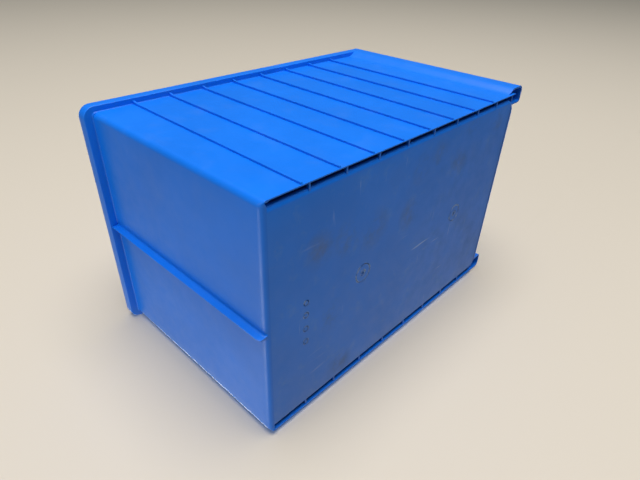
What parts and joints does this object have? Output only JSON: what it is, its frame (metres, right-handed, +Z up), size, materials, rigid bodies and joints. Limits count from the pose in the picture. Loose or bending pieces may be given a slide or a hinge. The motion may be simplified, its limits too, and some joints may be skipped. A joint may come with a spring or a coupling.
{
  "type": "stackable storage bin",
  "caption": "Open-front stackable storage bin with ribbed side walls, a stacking rim, hollow front columns and a slotted foot, moulded in one piece.",
  "frame": {"origin": "under the middle of the bin's overall box, at the height of its foot", "axes": "+Z up from the foot to the open top, -Y towards the pick opening, X across the width"},
  "size_m": [0.312, 0.493, 0.304],
  "materials": {
    "body": "satin injection-moulded polypropylene",
    "floor": "satin injection-moulded polypropylene, scuffed underneath",
    "trim": "satin injection-moulded polypropylene"
  },
  "bodies": {
    "root": {"floor_panel": "floor", "left_toe_wall": "body", "right_toe_wall": "body", "left_skirt": "body", "right_skirt": "body", "left_slot_webs": "body", "right_slot_webs": "body", "left_side_wall": "body", "right_side_wall": "body", "back_wall": "body", "left_back_corner": "body", "right_back_corner": "body", "back_rib": "body", "front_wall": "body", "front_lip": "body", "label_holder": "trim", "left_front_column": "body", "right_front_column": "body", "back_ledge": "body", "left_ledge": "body", "right_ledge": "body", "left_corner_ledge": "body", "right_corner_ledge": "body", "back_border": "body", "left_border": "body", "right_border": "body", "left_corner_border": "body", "right_corner_border": "body", "left_front_border": "body", "right_front_border": "body", "left_rib_1": "body", "left_rib_2": "body", "left_rib_3": "body", "left_rib_4": "body", "left_rib_5": "body", "left_rib_6": "body", "left_rib_7": "body", "left_rib_8": "body", "right_rib_1": "body", "right_rib_2": "body", "right_rib_3": "body", "right_rib_4": "body", "right_rib_5": "body", "right_rib_6": "body", "right_rib_7": "body", "right_rib_8": "body"}
  },
  "joints": []
}
